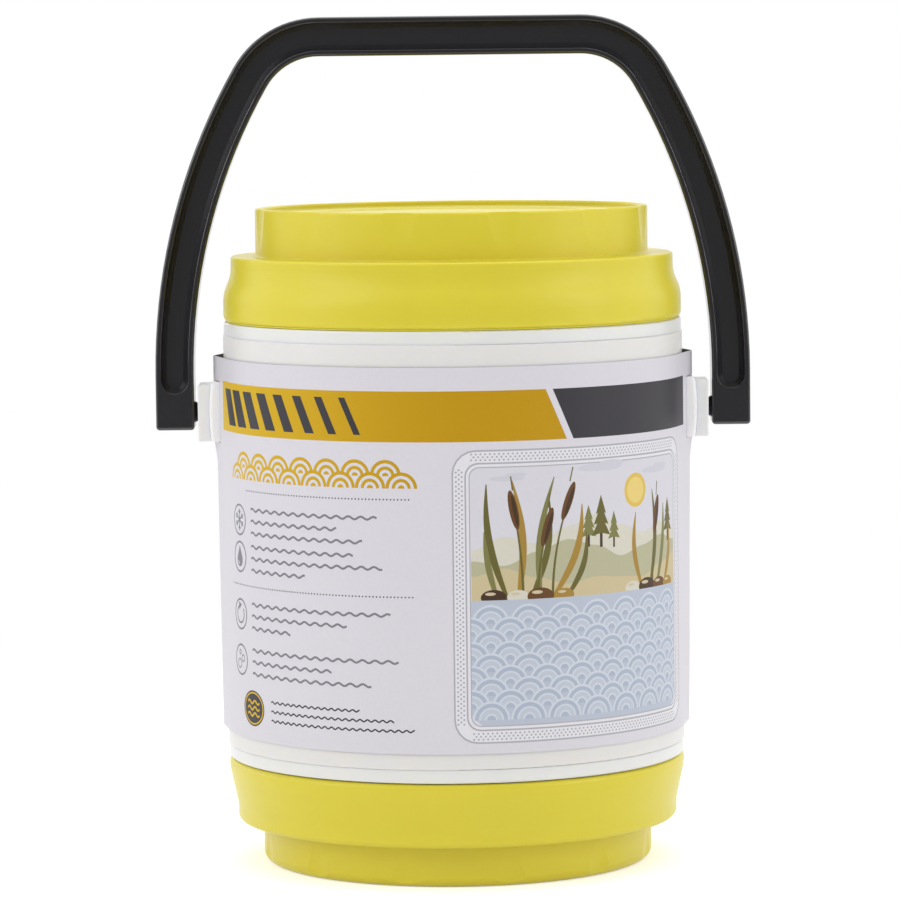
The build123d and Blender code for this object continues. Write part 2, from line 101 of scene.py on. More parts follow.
SOFTBOXES = (               # name, place, aim, size and watts
    ("left", (-1.5, -0.9, 1.1), (0, 0, 0.16), (1.0, 1.2), 6.5),
    ("right", (1.6, -0.8, 0.9), (0, 0, 0.16), (1.0, 1.2), 4.8),
    ("left_strip", (-1.5, -0.5, 0.4), (0, 0, 0.2), (0.10, 1.1), 1.6),
    ("right_strip", (1.5, -0.5, 0.4), (0, 0, 0.2), (0.10, 1.1), 1.4),
    ("top", (0.1, 0.3, 1.7), (0, 0, 0.2), (1.4, 1.0), 7),
)


def add_softbox(name, place, aim, size, power):
    data = bpy.data.lights.new(name, "AREA")
    data.shape = "RECTANGLE"
    data.size, data.size_y = size
    data.energy = power
    light = link_new(name, data)
    light.location = place
    light.rotation_euler = (Vector(aim) - Vector(place)).to_track_quat("-Z", "Y").to_euler()


class Graph:
    """Short names for building a node tree."""

    def __init__(self, tree):
        self.tree = tree

    def node(self, kind, links=(), **settings):
        made = self.tree.nodes.new(kind)
        for key, value in settings.items():
            setattr(made, key, value)
        for socket, source in dict(links).items():
            target = made.inputs[socket]
            if isinstance(source, bpy.types.NodeSocket):
                self.tree.links.new(source, target)
            else:
                target.default_value = source
        return made

    def clear(self):
        for old in list(self.tree.nodes):
            self.tree.nodes.remove(old)

    def math(self, operation, *values):
        return self.node("ShaderNodeMath", enumerate(values), operation=operation).outputs[0]

    def noise(self, place, scale, detail):
        made = self.node("ShaderNodeTexNoise", {"Vector": place, "Scale": scale, "Detail": detail})
        return made.outputs["Fac"]

    def ramp(self, value, span, levels=(0.0, 1.0), **settings):
        """The value's share of a span, as a level between two."""
        return self.node("ShaderNodeMapRange", {
            "Value": value, "From Min": span[0], "From Max": span[1],
            "To Min": levels[0], "To Max": levels[1]}, **settings).outputs[0]

    def smooth_ramp(self, value, span, levels=(0.0, 1.0)):
        return self.ramp(value, span, levels, interpolation_type="SMOOTHSTEP")

    def camera_ray(self):
        return self.node("ShaderNodeLightPath").outputs["Is Camera Ray"]

    def seen(self):
        """1 for rays from the camera and for mirrored or refracted ones, otherwise 0."""
        path = self.node("ShaderNodeLightPath")
        mirrored = self.math("MAXIMUM", path.outputs["Is Glossy Ray"], path.outputs["Is Transmission Ray"])
        return self.math("MAXIMUM", path.outputs["Is Camera Ray"], mirrored)


WORLD_LIGHT = 0.72          # what lights the surfaces from all round
WORLD_WHITE = 1.0           # what the camera sees
WORLD_FRONT = 0.22          # what surfaces mirror of the dark studio in front
WORLD_BACK = 1.4            # and of the bright sweep at the sides and behind
WORLD_TURN = (-0.95, -0.15) # along Y of a mirrored ray's direction, where the one passes into the other


def light_world():
    world = bpy.data.worlds.new("studio")
    bpy.context.scene.world = world
    world.use_nodes = True
    graph = Graph(world.node_tree)
    graph.clear()
    lit = graph.node("ShaderNodeBackground", {"Color": WHITE, "Strength": WORLD_LIGHT})
    way = graph.node("ShaderNodeTexCoord").outputs["Generated"]
    depth = graph.node("ShaderNodeSeparateXYZ", {0: way}).outputs["Y"]
    studio = graph.smooth_ramp(depth, WORLD_TURN, (WORLD_FRONT, WORLD_BACK))
    level = graph.node("ShaderNodeMix", {0: graph.camera_ray(), 2: studio, 3: WORLD_WHITE}).outputs[0]
    white = graph.node("ShaderNodeBackground", {"Color": WHITE, "Strength": level})
    mix = graph.node("ShaderNodeMixShader", {0: graph.seen(), 1: lit.outputs[0], 2: white.outputs[0]})
    graph.node("ShaderNodeOutputWorld", {"Surface": mix.outputs[0]})


FLOOR_RADIUS = 6.0
FLOOR_SIDES = 96
FLOOR_TINT = (0.90, 0.90, 0.90, 1)
FLOOR_GLOW = 0.46           # added for the camera, so that the open floor is white and shadows stay
SHADOW_REACH = (0.30, 0.75) # from the can's foot, over which the floor turns plain white
FLOOR_TURN = (-1.2, -0.2)   # along Y, over which what the can mirrors of the floor turns from dark to white


def add_floor():
    mesh = bpy.data.meshes.new("floor")
    shape = bmesh.new()
    bmesh.ops.create_circle(shape, cap_ends=True, segments=FLOOR_SIDES, radius=FLOOR_RADIUS)
    shape.to_mesh(mesh)
    shape.free()
    floor = link_new("floor", mesh)
    material = bpy.data.materials.new("floor_white")
    material.use_nodes = True
    graph = Graph(material.node_tree)
    graph.clear()
    place = graph.node("ShaderNodeNewGeometry").outputs["Position"]
    reach = graph.node("ShaderNodeVectorMath", {0: place}, operation="LENGTH").outputs["Value"]
    far = graph.smooth_ramp(reach, SHADOW_REACH)
    matte = graph.node("ShaderNodeBsdfDiffuse", {"Color": FLOOR_TINT})
    glow = graph.node("ShaderNodeEmission", {"Color": WHITE, "Strength": FLOOR_GLOW})
    lifted = graph.node("ShaderNodeAddShader", {0: matte.outputs[0], 1: glow.outputs[0]})
    forward = graph.node("ShaderNodeSeparateXYZ", {0: place}).outputs["Y"]
    mirrored = graph.smooth_ramp(forward, FLOOR_TURN, (WORLD_FRONT, WORLD_WHITE))
    level = graph.math("MAXIMUM", graph.camera_ray(), mirrored)
    white = graph.node("ShaderNodeEmission", {"Color": WHITE, "Strength": level})
    shown = graph.node("ShaderNodeMixShader", {0: far, 1: lifted.outputs[0], 2: white.outputs[0]})
    both = graph.node("ShaderNodeMixShader", {0: graph.seen(), 1: matte.outputs[0], 2: shown.outputs[0]})
    graph.node("ShaderNodeOutputMaterial", {"Surface": both.outputs[0]})
    mesh.materials.append(material)


add_camera()
light_world()
add_floor()
for softbox in SOFTBOXES:
    add_softbox(*softbox)
bpy.context.scene.view_settings.view_transform = "Standard"

# ---- materials ----


def srgb(*levels):
    """Linear colour from 0-255 display levels."""
    out = []
    for level in levels:
        share = level / 255
        out.append(share / 12.92 if share <= 0.04045 else ((share + 0.055) / 1.055) ** 2.4)
    return (*out, 1.0)


COAT_ROUGHNESS = 0.12
SCATTER_SHARE = 0.5         # of the light that goes under a deep plastic's surface
SCATTER_REACH = (1.0, 0.9, 0.4)
PATCHES = 30.0              # to a metre, in the slow colour drift
SMEARS = 4                  # to a patch, in the uneven polish
GRAINS = 2200.0             # to a metre
GRAIN_HEIGHT = 0.02
MOULDED_POLISH = 0.06       # how far the roughness varies


def moulded(name, colour, shade, roughness, specular=0.5, patches=PATCHES, grain_height=GRAIN_HEIGHT,
            polish=MOULDED_POLISH, depth=0.0, coat=0.0):
    """Moulded plastic: slow colour drift, uneven polish, a fine grain and, if deep, some scattering."""
    material = bpy.data.materials.new(name)
    material.use_nodes = True
    graph = Graph(material.node_tree)
    surface = material.node_tree.nodes["Principled BSDF"]
    surface.inputs["Specular IOR Level"].default_value = specular
    surface.inputs["Coat Weight"].default_value = coat
    surface.inputs["Coat Roughness"].default_value = COAT_ROUGHNESS
    if depth:
        surface.inputs["Subsurface Weight"].default_value = SCATTER_SHARE
        surface.inputs["Subsurface Scale"].default_value = depth * MM
        surface.inputs["Subsurface Radius"].default_value = SCATTER_REACH
    place = graph.node("ShaderNodeTexCoord").outputs["Object"]
    drift = graph.noise(place, patches, 3.0)
    tint = graph.node("ShaderNodeMix", {0: drift, 6: colour, 7: shade}, data_type="RGBA")
    graph.tree.links.new(tint.outputs[2], surface.inputs["Base Color"])
    smear = graph.noise(place, patches * SMEARS, 4.0)
    rough = graph.math("MULTIPLY_ADD", smear, polish, roughness - polish / 2)
    graph.tree.links.new(rough, surface.inputs["Roughness"])
    fine = graph.noise(place, GRAINS, 2.0)
    bump = graph.node("ShaderNodeBump", {"Height": fine, "Distance": grain_height * MM, "Strength": 1.0})
    graph.tree.links.new(bump.outputs[0], surface.inputs["Normal"])
    return material


WALL_TINTS = (srgb(232, 230, 228), srgb(229, 227, 224))
# painted light on the pads: a brighter, cooler white that lifts the shade they sit in beside the card
PAD_PAINTED_LIGHT = srgb(245, 244, 246)
PAD_LIGHT_START = (0.0908, 0.0918)    # distance to the side, in metres, where the barrel's wall passes into a pad and its colour into the pads' painted light


def shell_plastic():
    """White moulded shell whose pads take a brighter, cooler white than the wall: painted light that lifts the
    shade the pads sit in beside the card.
    """
    material = moulded("white_shell_plastic", *WALL_TINTS, 0.38, 0.3, depth=1.5)
    graph = Graph(material.node_tree)
    surface = material.node_tree.nodes["Principled BSDF"]
    wall = surface.inputs["Base Color"].links[0].from_socket
    place = graph.node("ShaderNodeTexCoord").outputs["Object"]
    side = graph.math("ABSOLUTE", graph.node("ShaderNodeSeparateXYZ", {0: place}).outputs["X"])
    pad_light_share = graph.ramp(side, PAD_LIGHT_START)
    tint = graph.node("ShaderNodeMix", {0: pad_light_share, 6: wall, 7: PAD_PAINTED_LIGHT}, data_type="RGBA")
    graph.tree.links.new(tint.outputs[2], surface.inputs["Base Color"])
    return material


VARNISH_SPECULAR = 0.25
VARNISH_ROUGHNESS = 0.40
VARNISH_POLISH = 0.1        # how much rougher it gets in places
VARNISH_PATCHES = 60.0      # to a metre
INK_LEVEL = 0.97            # share of the ink's colour that always shows
INK_MOTTLE = 0.06           # and what the grain of the print adds at most
INK_GRAINS = 900.0
BOARD_GRAINS = 1400.0
BOARD_GRAIN = 0.01          # height of the board's grain


def printed_card():
    """Coated board: the ink comes with the mesh, under a thin satin varnish."""
    material = bpy.data.materials.new("printed_board")
    material.use_nodes = True
    graph = Graph(material.node_tree)
    surface = material.node_tree.nodes["Principled BSDF"]
    place = graph.node("ShaderNodeTexCoord").outputs["Object"]
    ink = graph.node("ShaderNodeVertexColor", layer_name="ink").outputs["Color"]
    shade = graph.math("MULTIPLY_ADD", graph.noise(place, INK_GRAINS, 2.0), INK_MOTTLE, INK_LEVEL)
    toned = graph.node("ShaderNodeVectorMath", {0: ink, 3: shade}, operation="SCALE").outputs["Vector"]
    graph.tree.links.new(toned, surface.inputs["Base Color"])
    smear = graph.noise(place, VARNISH_PATCHES, 3.0)
    rough = graph.math("MULTIPLY_ADD", smear, VARNISH_POLISH, VARNISH_ROUGHNESS)
    graph.tree.links.new(rough, surface.inputs["Roughness"])
    surface.inputs["Specular IOR Level"].default_value = VARNISH_SPECULAR
    fine = graph.noise(place, BOARD_GRAINS, 2.0)
    bump = graph.node("ShaderNodeBump", {"Height": fine, "Distance": BOARD_GRAIN * MM, "Strength": 1.0})
    graph.tree.links.new(bump.outputs[0], surface.inputs["Normal"])
    return material


MATERIALS = {
    "yellow_lid": moulded("yellow_lid_plastic", srgb(226, 212, 63), srgb(220, 206, 57), 0.36, 0.35, depth=1.6),
    "white_shell": shell_plastic(),
    "ear_white": moulded("ear_plastic", srgb(242, 242, 243), srgb(238, 238, 238), 0.45, depth=1.5),
    "white_liner": moulded("liner_plastic", srgb(234, 234, 231), srgb(230, 230, 227), 0.35, depth=1.5),
    "plug_white": moulded("plug_plastic", srgb(236, 236, 234), srgb(231, 231, 229), 0.40),
    "black_handle": moulded("handle_plastic", srgb(33, 31, 35), srgb(29, 27, 31), 0.24, 0.5,
                            grain_height=0.01, polish=0.05, coat=0.7),
    "printed_card": moulded("card", srgb(230, 227, 232), srgb(228, 225, 230), 0.40),
    "gasket_rubber": moulded("rubber", srgb(50, 50, 52), srgb(42, 42, 44), 0.70, 0.3),
    "foam": moulded("foam_cells", srgb(235, 233, 222), srgb(226, 223, 210), 0.9, 0.2, patches=90.0),
}
for subpart in frame["record"]["subparts"]:
    NODES[subpart["node"]].material_slots[0].material = MATERIALS[subpart["material_slot"]]


# ---- printed sleeve: the wrapped card ----

SLEEVE_RADIUS = 91.17       # of the printed face where it lies on the barrel
SLEEVE_CARD = 0.5           # thickness
SLEEVE_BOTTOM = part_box("card_sleeve")[0][2] / MM
SLEEVE_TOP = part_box("card_sleeve")[1][2] / MM
PAD_MIDDLE = 178.6          # height of the pads that the windows go over
PAD_HALF_HEIGHT = 11.8
WINDOW_HALF_WIDTH = 11.7
WINDOW_HALF_HEIGHT = 12.1
UNDER_PAD = PAD_MIDDLE - PAD_HALF_HEIGHT
KNEE_DROP = 8.0             # from a pad's lower edge to the bend in the crease
CREASE_PLACES = (           # height, distance from the axis
    (SLEEVE_BOTTOM, 92.77), (UNDER_PAD - KNEE_DROP, 93.67), (UNDER_PAD, 94.87), (SLEEVE_TOP, 94.87))
LAP_START = -170.0          # angle of the outer layer's free edge, from the front towards +X
LAP_HOLD = 4.0              # degrees over which the outer layer keeps its height
LAP_FALL = 10.0             # degrees over which it comes down on the barrel
UNDERLAP = 4.0              # degrees of the inner layer under it
UNDERLAP_GAP = 0.04
CARD_STEP = 1.5             # degrees between the card's upright mesh lines
CARD_ROW = 7.0              # and millimetres between its level ones
BEND_SOFTNESS = 0.8         # degrees over which the crease is rounded
CARD_WAVE = 0.08            # depth of the card's slow waves
NORMAL_REACH = 0.2          # distance over which the card's slope is taken


def along(degrees):
    """Distance along the card for an angle round the can."""
    return math.radians(degrees) * SLEEVE_RADIUS


def eased(share):
    """A share of the way that starts and ends level."""
    return share * share * (3 - 2 * share)


def crease_distance(z):
    low = CREASE_PLACES[0]
    for high in CREASE_PLACES[1:]:
        if z <= high[0]:
            break
        low = high
    if low is high:
        return high[1]
    share = (max(z, low[0]) - low[0]) / (high[0] - low[0])
    return low[1] + share * (high[1] - low[1])


def card_radius(degrees, z):
    """Distance of the card's printed face from the axis."""
    folded = abs((degrees + 180) % 360 - 180)
    to_crease = math.hypot(90 - folded, BEND_SOFTNESS)
    leave = math.degrees(math.acos(SLEEVE_RADIUS / crease_distance(z)))
    radius = SLEEVE_RADIUS / math.cos(math.radians(max(0.0, leave - to_crease)))
    turn = math.radians(degrees)
    wave = math.sin(3 * turn + z / 31) * math.sin(2 * turn + z / 17)
    radius += CARD_WAVE * (wave - 1) / 2
    lap = degrees - LAP_START
    if lap < LAP_HOLD + LAP_FALL:
        rise = min(1.0, (LAP_HOLD + LAP_FALL - lap) / LAP_FALL)
        radius += SLEEVE_CARD * eased(rise)
    elif lap > 360:
        radius -= UNDERLAP_GAP
    return radius


def card_point(s, z, depth=0.0):
    degrees = math.degrees(s / SLEEVE_RADIUS)
    radius = card_radius(degrees, z) - depth
    turn = math.radians(degrees)
    return Vector((radius * math.sin(turn), -radius * math.cos(turn), z)) * MM


def card_normal(s, z):
    round_can = card_point(s + NORMAL_REACH, z) - card_point(s - NORMAL_REACH, z)
    upward = card_point(s, z + NORMAL_REACH) - card_point(s, z - NORMAL_REACH)
    return round_can.cross(upward).normalized()


def window_edge():
    """Angle at which the card's face is half a window's width from the pivots' axis."""
    low, high = 60.0, 90.0
    while high - low > 0.001:
        middle = (low + high) / 2
        if card_radius(middle, PAD_MIDDLE) * math.cos(math.radians(middle)) > WINDOW_HALF_WIDTH:
            low = middle
        else:
            high = middle
    return low


# -- flat shapes: each returns a list of (s, z) points, s along the card and z up --

def box_shape(s0, z0, s1, z1):
    return [(s0, z0), (s1, z0), (s1, z1), (s0, z1)]


def disc(s, z, radius, tall=1.0, lean=0.0, count=16):
    points = []
    for i in range(count):
        turn = 2 * math.pi * i / count
        x, y = radius * math.cos(turn), radius * tall * math.sin(turn)
        across, up = x * math.cos(lean) - y * math.sin(lean), x * math.sin(lean) + y * math.cos(lean)
        points.append((s + across, z + up))
    return points


def rounded_box(s0, z0, s1, z1, radius, count=5):
    points = []
    corners = ((s1, z0, -90), (s1, z1, 0), (s0, z1, 90), (s0, z0, 180))
    for s, z, start in corners:
        cs = s - radius if s == s1 else s + radius
        cz = z - radius if z == z1 else z + radius
        for i in range(count + 1):
            turn = math.radians(start + 90 * i / count)
            points.append((cs + radius * math.cos(turn), cz + radius * math.sin(turn)))
    return points


def stroke(path, width, taper=None):
    """A line along a path; taper gives the share of the width at a share of the way."""
    left, right = [], []
    for i, (s, z) in enumerate(path):
        before, after = path[max(0, i - 1)], path[min(len(path) - 1, i + 1)]
        ds, dz = after[0] - before[0], after[1] - before[1]
        long = math.hypot(ds, dz)
        share = taper(i / (len(path) - 1)) if taper else 1.0
        ns, nz = -dz / long * width / 2 * share, ds / long * width / 2 * share
        left.append((s + ns, z + nz))
        right.append((s - ns, z - nz))
    return right + left[::-1]


def arc_path(s, z, radius, start, end, count=12):
    turns = [math.radians(start + (end - start) * i / count) for i in range(count + 1)]
    return [(s + radius * math.cos(t), z + radius * math.sin(t)) for t in turns]


def spread(start, end, step):
    """Even places from one end to the other, about a step apart."""
    count = round((end - start) / step)
    return [start + (end - start) * i / count for i in range(count + 1)]


def ripple(s0, s1, z, height, pitch):
    return [(s, z + height * math.sin(2 * math.pi * (s - s0) / pitch)) for s in spread(s0, s1, pitch / 8)]


# -- the drawing, in painter's order: each shape is an ink and its outline --

BAND_BOTTOM = 172.1
BAND_TOP = 191.3
BAND_END = 79.5             # degrees either side of the front
GOLD_END = (35.8, 44.6)     # of the gold band along its top and bottom edges
BAND_GAP = 2.9              # between the gold and the charcoal
BAR_START = -116.0          # of the slanted bars on the gold, from the band's middle
BAR_PITCH = 11.0
BAR_WIDTHS = (8.4, 7.6, 6.8, 6.0, 5.2, 4.4, 3.6, 2.8)
BAR_INSET = 2.6             # from the band's edges
BAR_LEAN = 6.5
FRIEZE = (-113.0, -14.0, 154.6, 6.2)    # ends, foot and radius of the arches
FRIEZE_ARCHES = ((1.0, "gold"), (0.79, "card"), (0.6, "gold"), (0.4, "card"), (0.21, "gold"))
FRIEZE_RISE = 0.75          # of the upper row, as a share of the radius
DOT_PITCH = 1.42
DOT_RADIUS = 0.34
RULES = ((-99.0, -15.5, 150.4), (-113.5, -15.5, 113.4))     # ends and height of the dotted lines
FINE_RIPPLES = ((-82.0, -38.0, 69.6), (-82.0, -24.0, 66.0), (-82.0, -16.0, 62.4))    # ends and height
FINE_RIPPLE_WAVE = (0.4, 3.1)           # height and pitch
FINE_RIPPLE_LINE = 0.6
SIGN_S = -105.5             # of the signs' middles, along the card
SIGN_RADIUS = 6.2
SIGN_LINE = 0.75
THIN_SIGN_LINE = SIGN_LINE * 0.8
SNOW_ARM = 4.2
SNOW_FORK = 2.4             # from the middle to where an arm forks
SNOW_TWIG = 1.5
DROP_SINK = 1.2             # of the drop's round end below the sign's middle
DROP_RADIUS = 2.7
DROP_TIP = 4.4
DROP_GLINT = 1.5
TURN_RADIUS = 3.4
TURN_START = 110            # degrees at which the round arrow has its head
BUBBLES = ((-1.6, -1.6, 2.0), (1.8, 0.6, 1.6), (-1.0, 2.9, 1.1))    # offsets and radius
BUBBLE_WALL = 0.55
RIPPLE_START = -95.0
RIPPLE_SPACING = 4.6
RIPPLE_WAVE = (0.55, 5.2)   # height and pitch
RIPPLE_LINE = 0.85
ROUNDEL = (-95.0, 66.0)
ROUNDEL_DISCS = (("charcoal", 8.2, 0.85), ("gold", 7.6, 0.84), ("charcoal", 6.9, 0.83))    # radius, tallness
ROUNDEL_WAVE = (0.7, 4.6)
ROUNDEL_ROWS = (-2.4, 0, 2.4)
ROUNDEL_LINE = 0.8
PANEL = (-1.0, 57.6, 116.0, 169.0)      # left, bottom, right and top
PANEL_ROUND = 9.0
ROUND_SHARE = 0.8           # of its inset that a corner inside the panel is tighter by
BORDER = 6.4                # width of the panel's dotted border
WATER_INSET = 0.4           # of the water and the sky, from the border
SHORE_INSET = 0.6
BORDER_DOT = 0.42
BORDER_PITCH = 1.75
BORDER_ROWS = ((1.6, 0.0), (2.7, 0.5), (3.8, 0.0))      # distance in from the edge, and shift in pitches
BORDER_ENDS = 7.0           # from a corner to the ends of its rows
BORDER_LAYERS = (           # how far each one is set in
    (0, "rule"), (0.6, "bright"), (BORDER - 1.6, "rule"), (BORDER - 1.0, "bright"), (BORDER, "rule"),
    (BORDER + WATER_INSET, "haze"))
SHORE = 112.0               # height of the water's edge


def band_shapes(middle):
    """Gold and charcoal stripe with a slanting gap, centred on an angle, and thinning bars on the gold."""
    centre = along(middle)
    left, right = centre - along(BAND_END), centre + along(BAND_END)
    top, low = centre + GOLD_END[0], centre + GOLD_END[1]
    shapes = [
        ("gold", [(left, BAND_BOTTOM), (low, BAND_BOTTOM), (top, BAND_TOP), (left, BAND_TOP)]),
        ("charcoal", [(low + BAND_GAP, BAND_BOTTOM), (right, BAND_BOTTOM),
                      (right, BAND_TOP), (top + BAND_GAP, BAND_TOP)]),
    ]
    foot, head = BAND_BOTTOM + BAR_INSET, BAND_TOP - BAR_INSET
    for i, width in enumerate(BAR_WIDTHS):
        s = centre + BAR_START + BAR_PITCH * i
        shapes.append(("charcoal", [
            (s, foot), (s + width, foot), (s + width - BAR_LEAN, head), (s - BAR_LEAN, head)]))
    return shapes


def arch_frieze():
    start, end, foot, size = FRIEZE
    shapes = []
    count = round((end - start) / size / 2)
    pitch = (end - start) / count
    for row, shift in ((1, 0.5), (0, 0.0)):
        for i in range(count - row):
            s = start + pitch * (i + 0.5 + shift)
            for share, ink in FRIEZE_ARCHES:
                shapes.append((ink, arc_path(s, foot + row * size * FRIEZE_RISE, size * share, 0, 180)))
    return shapes


def dotted(start, end, z):
    count = int((end - start) / DOT_PITCH)
    return [("charcoal", disc(start + DOT_PITCH * (i + 0.5), z, DOT_RADIUS, count=6)) for i in range(count)]


def sign_ring(z):
    return [("grey", disc(SIGN_S, z, SIGN_RADIUS, count=28)),
            ("card", disc(SIGN_S, z, SIGN_RADIUS - SIGN_LINE, count=28))]


def polar(s, z, radius, turn):
    return (s + radius * math.cos(math.radians(turn)), z + radius * math.sin(math.radians(turn)))


def snow_sign(z):
    shapes = []
    for turn in (30, 90, 150):
        arm = [polar(SIGN_S, z, SNOW_ARM, turn), polar(SIGN_S, z, SNOW_ARM, turn + 180)]
        shapes.append(("grey", stroke(arm, SIGN_LINE)))
    for turn in range(30, 390, 60):
        fork = polar(SIGN_S, z, SNOW_FORK, turn)
        for side in (-45, 45):
            shapes.append(("grey", stroke([fork, polar(*fork, SNOW_TWIG, turn + side)], THIN_SIGN_LINE)))
    return shapes


def drop_sign(z):
    outline = arc_path(SIGN_S, z - DROP_SINK, DROP_RADIUS, -210, 30, 14) + [(SIGN_S, z + DROP_TIP)]
    glint = arc_path(SIGN_S, z - DROP_SINK, DROP_GLINT, 190, 260, 5)
    return [("grey", outline), ("card", stroke(glint, THIN_SIGN_LINE))]


def turn_sign(z):
    tip_s, tip_z = polar(SIGN_S, z, TURN_RADIUS, TURN_START)
    head = [(tip_s - 0.6, tip_z + 1.7), (tip_s - 0.4, tip_z - 1.7), (tip_s + 2.4, tip_z + 0.5)]
    ring = arc_path(SIGN_S, z, TURN_RADIUS, TURN_START, 400, 18)
    return [("grey", stroke(ring, SIGN_LINE)), ("grey", head)]


def bubble_sign(z):
    shapes = []
    for ds, dz, radius in BUBBLES:
        shapes.append(("grey", disc(SIGN_S + ds, z + dz, radius)))
        shapes.append(("card", disc(SIGN_S + ds, z + dz, radius - BUBBLE_WALL)))
    return shapes


SIGNS = (                   # each with its height and where its three ripple lines end
    (snow_sign, 138.6, (-30.0, -47.0, -36.0)),
    (drop_sign, 124.2, (-40.0, -28.0, -62.0)),
    (turn_sign, 101.8, (-25.0, -43.0, -70.0)),
    (bubble_sign, 84.0, (-22.0, -50.0, -33.0)),
)


def sign_rows():
    shapes = []
    for sign, z, ends in SIGNS:
        shapes += sign_ring(z) + sign(z)
        for line, end in enumerate(ends):
            path = ripple(RIPPLE_START, end, z + RIPPLE_SPACING * (1 - line), *RIPPLE_WAVE)
            shapes.append(("grey", stroke(path, RIPPLE_LINE)))
    return shapes


def roundel():
    """Dark disc with a gold ring and gold ripples."""
    s, z = ROUNDEL
    half = ROUNDEL_WAVE[1]
    shapes = [(ink, disc(s, z, radius, tall=tall, count=36)) for ink, radius, tall in ROUNDEL_DISCS]
    for row in ROUNDEL_ROWS:
        shapes.append(("gold", stroke(ripple(s - half, s + half, z + row, *ROUNDEL_WAVE), ROUNDEL_LINE)))
    return shapes


def panel_frame():
    """The panel's ground inside a ruled border with three rows of dots on each side."""
    s0, z0, s1, z1 = PANEL
    shapes = []
    for inset, ink in BORDER_LAYERS:
        rounding = PANEL_ROUND - inset * ROUND_SHARE
        shapes.append((ink, rounded_box(s0 + inset, z0 + inset, s1 - inset, z1 - inset, rounding)))
    left, low, right, high = s0 + BORDER_ENDS, z0 + BORDER_ENDS, s1 - BORDER_ENDS, z1 - BORDER_ENDS
    for row, shift in BORDER_ROWS:
        for start, end in (
                ((left, z0 + row), (right, z0 + row)), ((left, z1 - row), (right, z1 - row)),
                ((s0 + row, low), (s0 + row, high)), ((s1 - row, low), (s1 - row, high))):
            count = int(math.dist(start, end) / BORDER_PITCH)
            for i in range(count):
                share = (i + shift + 0.25) / count
                spot = (start[0] + share * (end[0] - start[0]), start[1] + share * (end[1] - start[1]))
                shapes.append(("rule", disc(*spot, BORDER_DOT, count=6)))
    return shapes


HILL_STEPS = 6              # points from one given height to the next
LEAF_STEPS = 14
STALK_STEPS = 8


def hill(start, end, foot, heights, ink):
    """Rolling ground between two places: heights above the foot at even steps."""
    count = (len(heights) - 1) * HILL_STEPS
    crest = []
    for i in range(count + 1):
        step, share = divmod(i / HILL_STEPS, 1)
        low = heights[int(step)]
        high = heights[min(int(step) + 1, len(heights) - 1)]
        crest.append((start + (end - start) * i / count, foot + low + eased(share) * (high - low)))
    return (ink, [(start, foot), (end, foot)] + crest[::-1])


def leaf(s, z, height, lean, bow, width, ink):
    """A blade that is fullest under its middle and ends in a point."""
    path = []
    for i in range(LEAF_STEPS + 1):
        share = i / LEAF_STEPS
        path.append((s + lean * share + bow * math.sin(math.pi * share), z + height * share))
    return (ink, stroke(path, width, lambda share: 0.12 + 1.3 * math.sin(math.pi * (0.12 + 0.86 * share))))


def cattail(s, z, height, lean):
    """A bending stalk with a brown head, its shaded core and the tip above it."""
    shares = [i / STALK_STEPS for i in range(STALK_STEPS + 1)]
    path = [(s + lean * share ** 2, z + height * share) for share in shares]
    top_s, top_z = path[-1]
    tilt = -math.atan2(2 * lean, height)
    return [("olive", stroke(path, 0.9, lambda share: 1.2 - 0.5 * share)),
            ("brown", disc(top_s, top_z, 1.75, tall=4.4, lean=tilt, count=22)),
            ("umber", disc(top_s + 0.5, top_z - 0.3, 0.8, tall=7.6, lean=tilt, count=16)),
            ("olive", stroke([(top_s + lean * 0.1, top_z + 7.4), (top_s + lean * 0.3, top_z + 12.8)], 0.55))]


PINE_TRUNK = (0.035, 0.3)   # half width and top, as shares of the height
PINE_TIERS = ((0.18, 0.24), (0.4, 0.19), (0.62, 0.13))      # foot and half width of each, likewise
PINE_TIER = 0.42            # height of a tier, and of the notch under it
PINE_NOTCH = 0.05


def pine(s, z, height, ink):
    trunk, top = PINE_TRUNK
    shapes = [("umber", box_shape(s - height * trunk, z - 1, s + height * trunk, z + height * top))]
    for foot, half in PINE_TIERS:
        low = z + height * foot
        shapes.append((ink, [
            (s - height * half, low), (s, low + height * PINE_NOTCH), (s + height * half, low),
            (s, min(z + height, low + height * PINE_TIER))]))
    return shapes


LEAVES = (                  # place, height, lean, bow, width and ink
    (20, 44, -8, -3, 2.0, "olive"), (24, 45, -2, 3, 2.1, "ochre"), (29, 37, 8, 3, 1.9, "olive"),
    (33, 46, 6, -3, 2.0, "moss"), (38, 35, 13, 4, 2.1, "ochre"), (16, 26, -5, -1, 1.7, "moss"),
    (44, 24, 9, 3, 1.8, "olive"), (83, 30, -4, -3, 1.8, "ochre"), (88, 38, 2, 3, 1.9, "olive"),
    (93, 32, 6, 2, 1.8, "moss"), (99, 24, 5, 2, 1.7, "ochre"),
)
CATTAILS = ((26, 34, -3.5), (32, 27, 4.0), (38, 36.5, 7.0), (90, 28, 3.0))     # place, height and lean
PINES = ((54, 131.5, 15, "moss"), (60, 131, 19, "olive"), (66.5, 130.5, 13, "moss"), (103, 130, 16, "olive"))
SUN = (79, 150.5)
SUN_DISCS = (("sun", 6.6), ("glow", 5.0))
CLOUDS = ((60, 160.5, 11), (92, 157.5, 9), (20, 158, 7))    # place and half length
HILLS = (                   # behind the pines
    ((19, 24, 21, 27, 31, 26, 22, 25, 21), "sand"),
    ((15, 13, 18, 22, 19, 14, 17, 20, 17), "moss_pale"),
)
BANK = ((9, 12, 8, 5, 7, 6, 5, 9, 12), "ochre_pale")        # in front of them
STONE_RISE = 1.0            # of the stones' middles over the water's edge
STONES = (                  # place, half length and ink
    (14.5, 5.0, "umber"), (24, 4.4, "sand"), (33, 5.4, "brown"), (43, 4.2, "ochre"), (77, 4.4, "sand"),
    (86, 5.4, "umber"), (95, 4.6, "brown"), (102.5, 4.0, "ochre"),
)


